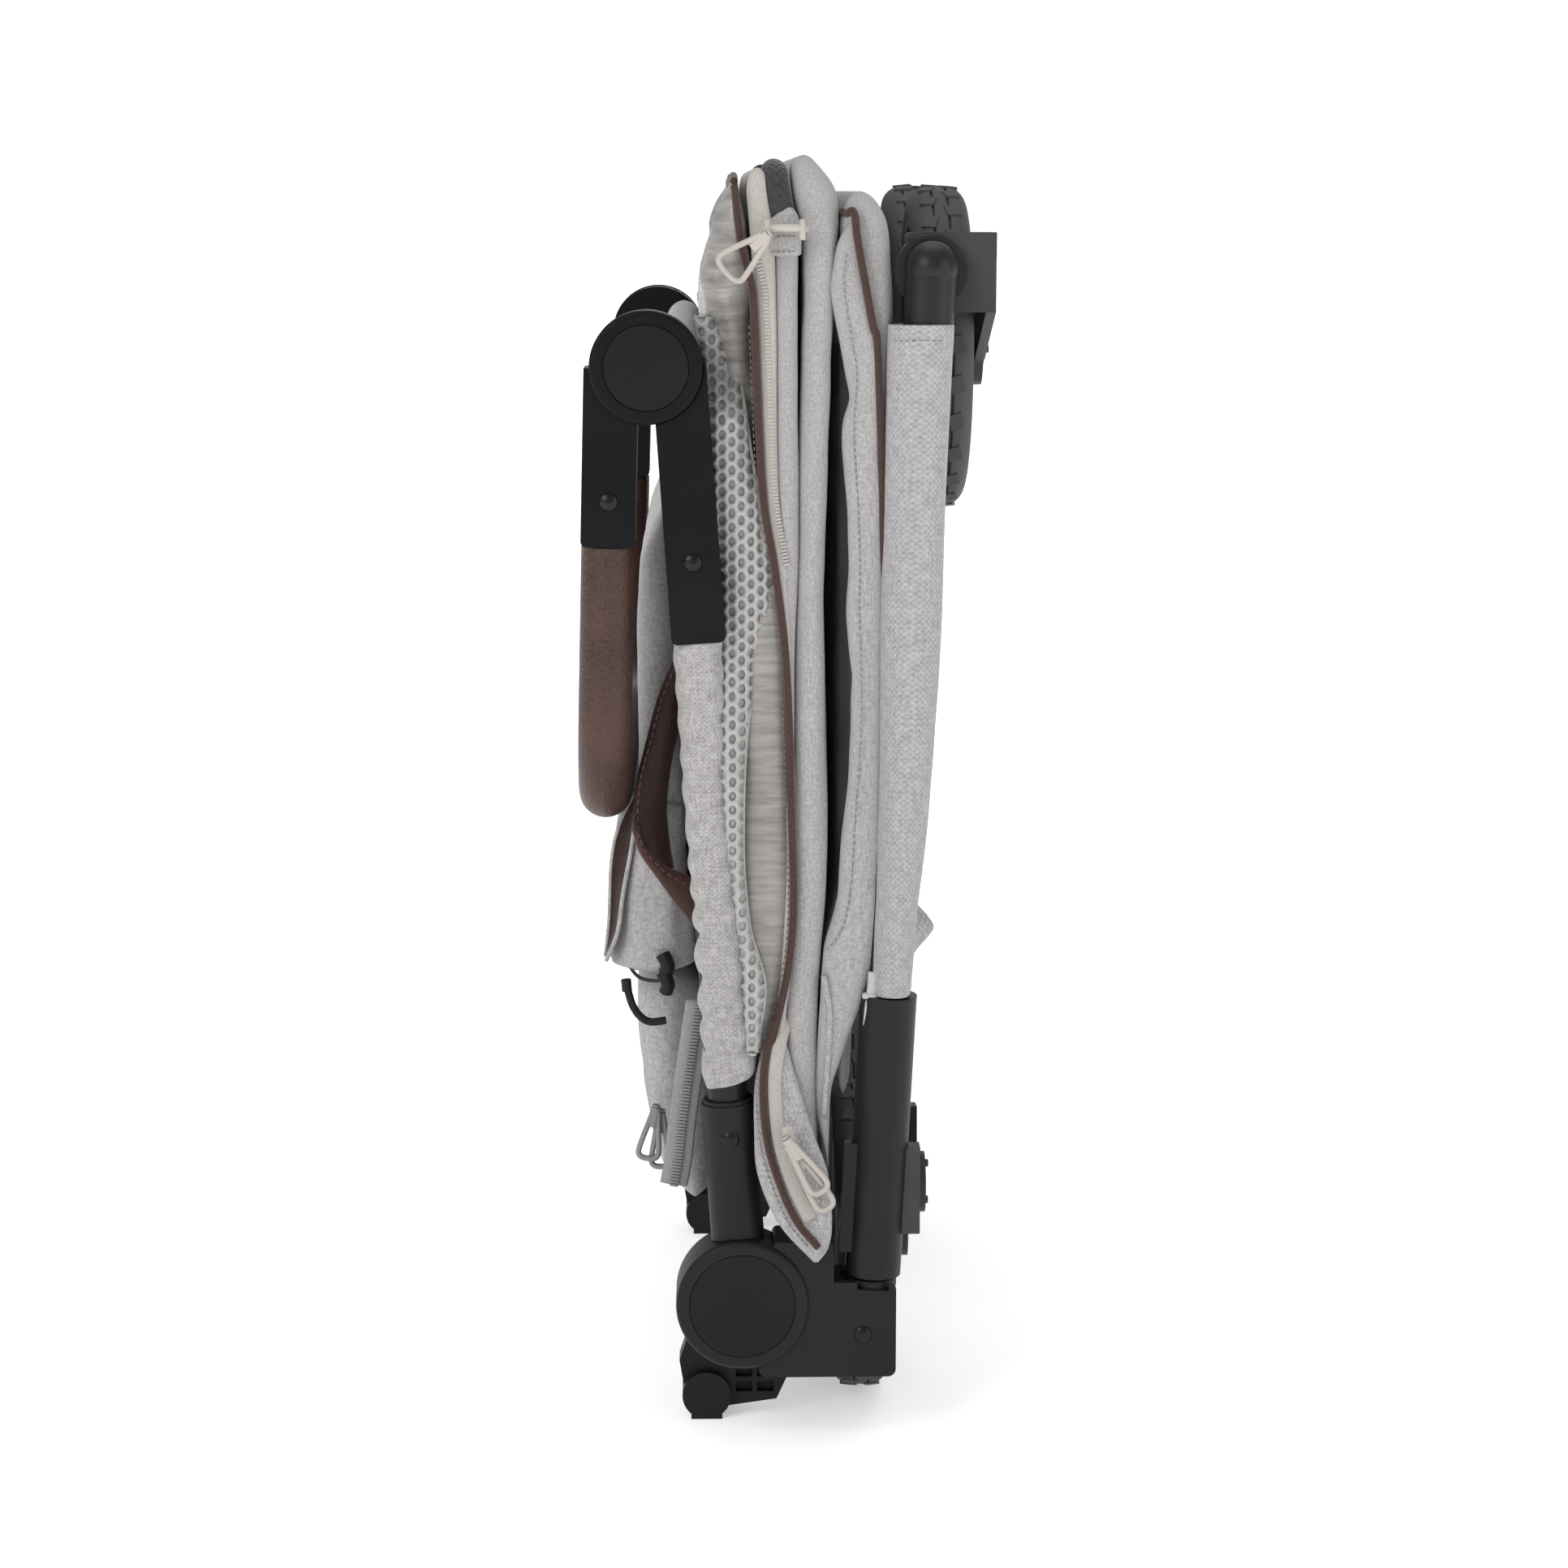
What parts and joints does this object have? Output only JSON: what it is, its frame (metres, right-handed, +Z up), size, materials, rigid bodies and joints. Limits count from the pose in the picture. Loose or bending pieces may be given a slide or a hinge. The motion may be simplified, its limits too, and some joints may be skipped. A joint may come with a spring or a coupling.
{
  "type": "folding stroller",
  "caption": "Compact folding stroller, folded and standing on end: tube frame on round hubs, fold-down handlebar, turning wheel legs, packed grey seat and canopy.",
  "frame": {"origin": "on the floor, under the middle of the bounding box of the folded stroller as it stands on end", "axes": "+Z up; +X towards the wheels (the underside of the seat when it is open), -X towards the handlebar; -Y is the stroller's right side"},
  "size_m": [0.2101, 0.44, 0.6419],
  "materials": {
    "arm_plastic": "satin moulded",
    "beige_zip": "painted",
    "black_plastic": "matt moulded",
    "black_rivet": "domed, glossy",
    "black_tube": "satin black powder coat",
    "brown_leather": "pebbled imitation leather",
    "brown_webbing": "satin webbing",
    "cover_plastic": "satin moulded",
    "elastic_cord": "braided elastic",
    "fork_plastic": "satin moulded",
    "grey_zip": "die cast and painted",
    "hub_plastic": "fine matt moulded",
    "leg_plastic": "satin moulded",
    "melange_fabric": "grey melange weave",
    "pin_steel": "turned",
    "rim_plastic": "matt moulded",
    "tyre_rubber": "moulded foam rubber with tread",
    "woven_sleeve": "coarse two-tone grey weave"
  },
  "bodies": {
    "seat_frame": {"hub_right": "hub_plastic", "hub_left": "hub_plastic", "hub_cover_right": "cover_plastic", "hub_cover_left": "cover_plastic", "hub_pins": "pin_steel", "seat_tube_right": "black_tube", "seat_tube_left": "black_tube", "rear_crossbar": "black_tube", "front_crossbar": "black_tube", "stand_foot_right": "black_plastic", "stand_foot_left": "black_plastic", "seat_sleeves": "woven_sleeve", "seat_pad": "melange_fabric", "frame_rivets": "black_rivet"},
    "handle_frame": {"handle_socket_right": "hub_plastic", "handle_socket_left": "hub_plastic", "handle_tube_right": "black_tube", "handle_tube_left": "black_tube", "lower_arm_right": "arm_plastic", "lower_arm_left": "arm_plastic", "handle_sleeves": "melange_fabric", "backrest": "melange_fabric", "back_pocket": "melange_fabric", "canopy_pack": "melange_fabric", "carry_strap": "brown_webbing", "net_loop": "elastic_cord", "strap_hook": "black_plastic", "handle_rivets": "black_rivet"},
    "handlebar": {"upper_arm_right": "arm_plastic", "upper_arm_left": "arm_plastic", "joint_cover_right": "cover_plastic", "joint_cover_left": "cover_plastic", "joint_pins": "pin_steel", "bar_tube": "black_tube", "leather_grip": "brown_leather", "bar_rivets": "black_rivet"},
    "rear_leg_right": {"rear_leg_right": "leg_plastic", "rear_bracket_right": "fork_plastic"},
    "brake_pedal_right": {"brake_pedal_right": "black_plastic"},
    "rear_wheel_right": {"rear_tyre_right": "tyre_rubber", "rear_rim_right": "rim_plastic"},
    "front_leg_right": {"front_leg_right": "leg_plastic"},
    "caster_right": {"caster_fork_right": "fork_plastic", "king_pin_right": "pin_steel"},
    "front_wheel_right": {"front_tyre_right": "tyre_rubber", "front_rim_right": "rim_plastic"},
    "rear_leg_left": {"rear_leg_left": "leg_plastic", "rear_bracket_left": "fork_plastic"},
    "brake_pedal_left": {"brake_pedal_left": "black_plastic"},
    "rear_wheel_left": {"rear_tyre_left": "tyre_rubber", "rear_rim_left": "rim_plastic"},
    "front_leg_left": {"front_leg_left": "leg_plastic"},
    "caster_left": {"caster_fork_left": "fork_plastic", "king_pin_left": "pin_steel"},
    "front_wheel_left": {"front_tyre_left": "tyre_rubber", "front_rim_left": "rim_plastic"},
    "zip_pull_hood": {"zip_pull_hood": "grey_zip"},
    "zip_pull_canopy": {"zip_pull_canopy": "beige_zip"},
    "zip_pull_pocket": {"zip_pull_pocket": "grey_zip"}
  },
  "joints": [
    {"name": "handle_fold", "type": "hinge", "parent": "seat_frame", "child": "handle_frame", "pos_m": [-0.0234, 0, 0.0786], "axis": [0, -1, 0], "range_deg": [0, 102]},
    {"name": "handlebar_fold", "type": "hinge", "parent": "handle_frame", "child": "handlebar", "pos_m": [-0.06803, 0, 0.54093], "axis": [0, 1, 0], "range_deg": [0, 174]},
    {"name": "rear_leg_turn_right", "type": "hinge", "parent": "seat_frame", "child": "rear_leg_right", "pos_m": [0.037, -0.203, 0], "axis": [-0.0523, 0, -0.9986], "range_deg": [0, 90]},
    {"name": "front_leg_turn_right", "type": "hinge", "parent": "seat_frame", "child": "front_leg_right", "pos_m": [0.037, -0.203, 0], "axis": [-0.0523, 0, -0.9986], "range_deg": [0, 90]},
    {"name": "brake_right", "type": "hinge", "parent": "rear_leg_right", "child": "brake_pedal_right", "pos_m": [0.0675, -0.103, 0.107], "axis": [1, 0, 0], "range_deg": [-12, 12]},
    {"name": "rear_wheel_spin_right", "type": "hinge", "parent": "rear_leg_right", "child": "rear_wheel_right", "pos_m": [0.039, -0.103, 0.08], "axis": [1, 0, 0], "continuous": true},
    {"name": "caster_swivel_right", "type": "hinge", "parent": "front_leg_right", "child": "caster_right", "pos_m": [0.06767, -0.19, 0.5852], "axis": [0, -1, 0], "range_deg": [0, 20]},
    {"name": "front_wheel_spin_right", "type": "hinge", "parent": "caster_right", "child": "front_wheel_right", "pos_m": [0.07617, -0.1005, 0.5452], "axis": [1, 0, 0], "continuous": true},
    {"name": "rear_leg_turn_left", "type": "hinge", "parent": "seat_frame", "child": "rear_leg_left", "pos_m": [0.037, 0.203, 0], "axis": [0.0523, 0, 0.9986], "range_deg": [0, 90]},
    {"name": "front_leg_turn_left", "type": "hinge", "parent": "seat_frame", "child": "front_leg_left", "pos_m": [0.037, 0.203, 0], "axis": [0.0523, 0, 0.9986], "range_deg": [0, 90]},
    {"name": "brake_left", "type": "hinge", "parent": "rear_leg_left", "child": "brake_pedal_left", "pos_m": [0.0675, 0.103, 0.107], "axis": [-1, 0, 0], "range_deg": [-12, 12]},
    {"name": "rear_wheel_spin_left", "type": "hinge", "parent": "rear_leg_left", "child": "rear_wheel_left", "pos_m": [0.039, 0.103, 0.08], "axis": [1, 0, 0], "continuous": true},
    {"name": "caster_swivel_left", "type": "hinge", "parent": "front_leg_left", "child": "caster_left", "pos_m": [0.06767, 0.19, 0.5852], "axis": [0, -1, 0], "range_deg": [-4, 16]},
    {"name": "front_wheel_spin_left", "type": "hinge", "parent": "caster_left", "child": "front_wheel_left", "pos_m": [0.07894, 0.1005, 0.54589], "axis": [0.9976, 0, 0.0698], "continuous": true},
    {"name": "zip_pull_hood_swing", "type": "hinge", "parent": "handle_frame", "child": "zip_pull_hood", "pos_m": [-0.01003, -0.209, 0.60593], "axis": [0, 1, 0], "range_deg": [-20, 20]},
    {"name": "zip_pull_canopy_swing", "type": "hinge", "parent": "handle_frame", "child": "zip_pull_canopy", "pos_m": [-0.0014, -0.209, 0.1656], "axis": [0, 1, 0], "range_deg": [-20, 20]},
    {"name": "zip_pull_pocket_swing", "type": "hinge", "parent": "handle_frame", "child": "zip_pull_pocket", "pos_m": [-0.0764, -0.12, 0.1856], "axis": [0, 1, 0], "range_deg": [-20, 20]}
  ],
  "couplings": [
    {"joint": "rear_leg_turn_right", "follows": "handle_fold", "ratio": 0.882},
    {"joint": "front_leg_turn_right", "follows": "handle_fold", "ratio": 0.882},
    {"joint": "rear_leg_turn_left", "follows": "handle_fold", "ratio": 0.882},
    {"joint": "front_leg_turn_left", "follows": "handle_fold", "ratio": 0.882},
    {"joint": "brake_left", "follows": "brake_right", "ratio": 1}
  ]
}
